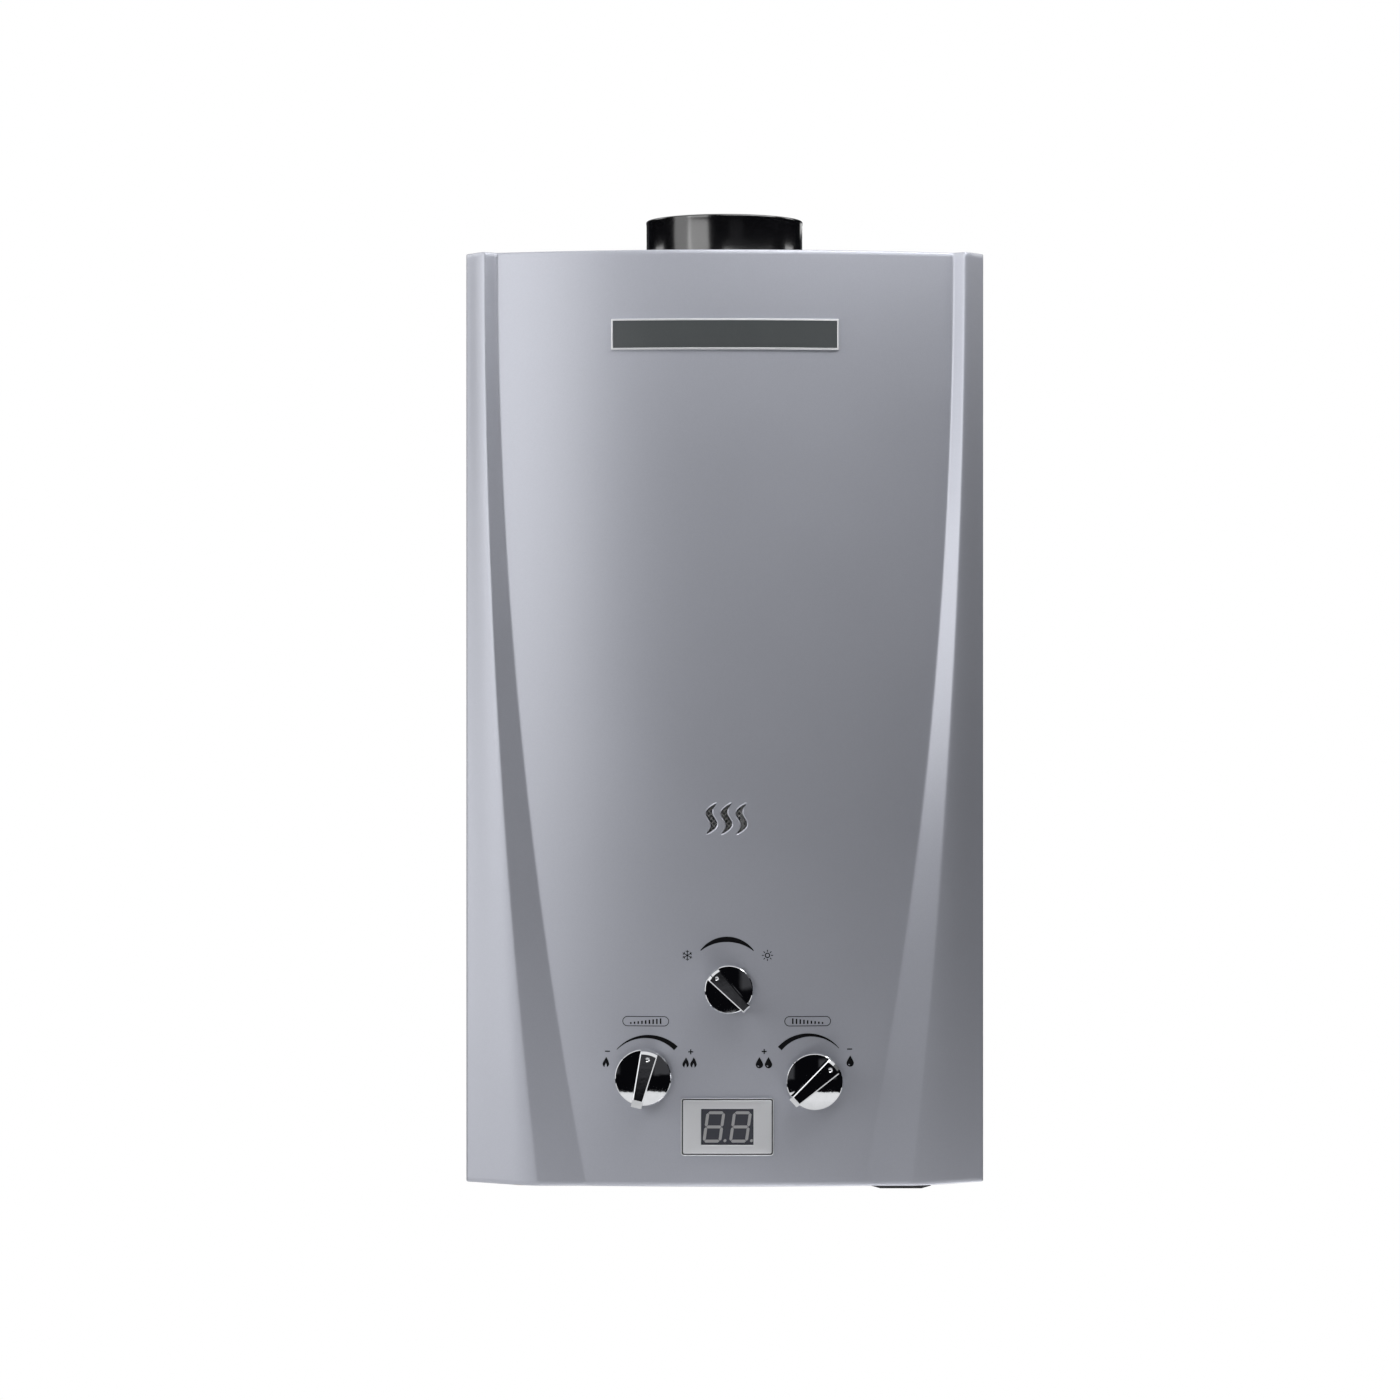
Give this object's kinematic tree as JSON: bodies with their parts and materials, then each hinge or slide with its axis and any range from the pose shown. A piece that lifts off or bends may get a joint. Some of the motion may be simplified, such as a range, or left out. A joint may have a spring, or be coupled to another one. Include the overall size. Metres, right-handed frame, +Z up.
{
  "type": "tankless gas water heater",
  "caption": "Wall-hung tankless gas water heater: bowed silver casing with flue collar, chromed control knobs, display, and the burner, exchanger and valves inside.",
  "frame": {"origin": "middle of the back plate's face that lies against the wall", "axes": "+X to the right of a person facing the front, +Y into the wall, +Z up"},
  "size_m": [0.3544, 0.182, 0.663],
  "materials": {
    "silver_paint": "satin metallic paint",
    "black_enamel": "gloss vitreous enamel",
    "zinc_sheet": "galvanised sheet",
    "copper": "bare copper",
    "brass": "turned brass",
    "cast_alloy": "die-cast",
    "steel": "plain steel",
    "stainless": "stainless sheet",
    "chrome": "polished chrome plate",
    "black_plastic": "moulded plastic",
    "grey_plastic": "silver moulded plastic",
    "smoked_window": "smoked acrylic",
    "circuit": "circuit board",
    "plate": "dark field in a bright frame",
    "mesh": "blackened mesh",
    "rubber": "moulded rubber",
    "porcelain": "glazed porcelain",
    "silicone": "silicone insulation",
    "cell": "printed can"
  },
  "bodies": {
    "casing": {"back_plate": "zinc_sheet", "front_cover": "silver_paint", "top_panel": "zinc_sheet", "base_panel": "zinc_sheet", "flue_collar": "black_enamel", "draft_hood": "zinc_sheet", "exchanger_jacket": "copper", "exchanger_fins": "copper", "fin_tubes": "copper", "jacket_coil": "copper", "cold_pipe": "copper", "hot_pipe": "copper", "stack_brackets": "zinc_sheet", "burner_frame": "stainless", "burner_bars": "stainless", "gas_manifold": "cast_alloy", "gas_nozzles": "brass", "gas_tubes": "cast_alloy", "pipe_nuts": "brass", "gas_valve_body": "cast_alloy", "season_valve_body": "cast_alloy", "gland_plates": "brass", "solenoid_can": "steel", "solenoid_spring": "steel", "water_valve_body": "brass", "water_valve_cover": "brass", "diaphragm": "rubber", "poppet_spring": "steel", "valve_screws": "steel", "valve_bracket": "zinc_sheet", "microswitch": "black_plastic", "gas_inlet": "brass", "cold_inlet": "brass", "hot_outlet": "brass", "igniter_box": "black_plastic", "electrode_ceramics": "porcelain", "electrode_pins": "steel", "electrode_clamp": "stainless", "overheat_switch": "black_plastic", "battery_box": "black_plastic", "lid_pin": "steel", "batteries": "cell", "display_bezel": "grey_plastic", "display_window": "smoked_window", "display_board": "circuit", "name_plate": "plate", "viewing_mesh": "mesh", "wiring_leads": "silicone", "casing_screws": "steel"},
    "flame_control": {"flame_knob": "chrome", "flame_spindle": "brass"},
    "water_control": {"water_knob": "chrome", "water_spindle": "brass"},
    "season_control": {"season_knob": "chrome", "season_spindle": "brass"},
    "lid": {"battery_lid": "black_plastic"},
    "drain": {"drain_plug": "black_plastic"},
    "rod": {"push_rod": "steel"},
    "lever": {"microswitch_lever": "steel"},
    "plunger": {"solenoid_plunger": "steel"}
  },
  "joints": [
    {"name": "flame_knob_turn", "type": "hinge", "parent": "casing", "child": "flame_control", "pos_m": [-0.0549, -0.13, -0.2407], "axis": [0, 1, 0], "range_deg": [-61.5, 34.5]},
    {"name": "water_knob_turn", "type": "hinge", "parent": "casing", "child": "water_control", "pos_m": [0.0599, -0.13, -0.2435], "axis": [0, 1, 0], "range_deg": [-96, 0]},
    {"name": "season_knob_turn", "type": "hinge", "parent": "casing", "child": "season_control", "pos_m": [0.0025, -0.13, -0.1817], "axis": [0, 1, 0], "range_deg": [0, 88]},
    {"name": "battery_lid_swing", "type": "hinge", "parent": "casing", "child": "lid", "pos_m": [0.12, -0.04, -0.3154], "axis": [1, 0, 0], "range_deg": [0, 95]},
    {"name": "drain_plug_turn", "type": "hinge", "parent": "casing", "child": "drain", "pos_m": [0.0285, -0.075, -0.314], "axis": [0, 0, -1], "range_deg": [0, 360]},
    {"name": "push_rod_slide", "type": "slide", "parent": "casing", "child": "rod", "axis": [-1, 0, 0], "range_m": [0, 0.005], "stiffness_N_per_m": 600, "springref_m": -0.002, "deforming": ["poppet_spring", "diaphragm"]},
    {"name": "switch_lever_swing", "type": "hinge", "parent": "casing", "child": "lever", "pos_m": [-0.012, -0.075, -0.2275], "axis": [0, 1, 0], "range_deg": [0, 33]},
    {"name": "solenoid_plunger_slide", "type": "slide", "parent": "casing", "child": "plunger", "axis": [0, 0, 1], "range_m": [0, 0.003], "stiffness_N_per_m": 150, "springref_m": -0.004, "deforming": ["solenoid_spring"]}
  ],
  "couplings": [
    {"joint": "switch_lever_swing", "follows": "push_rod_slide", "rad_per_m": 112}
  ]
}
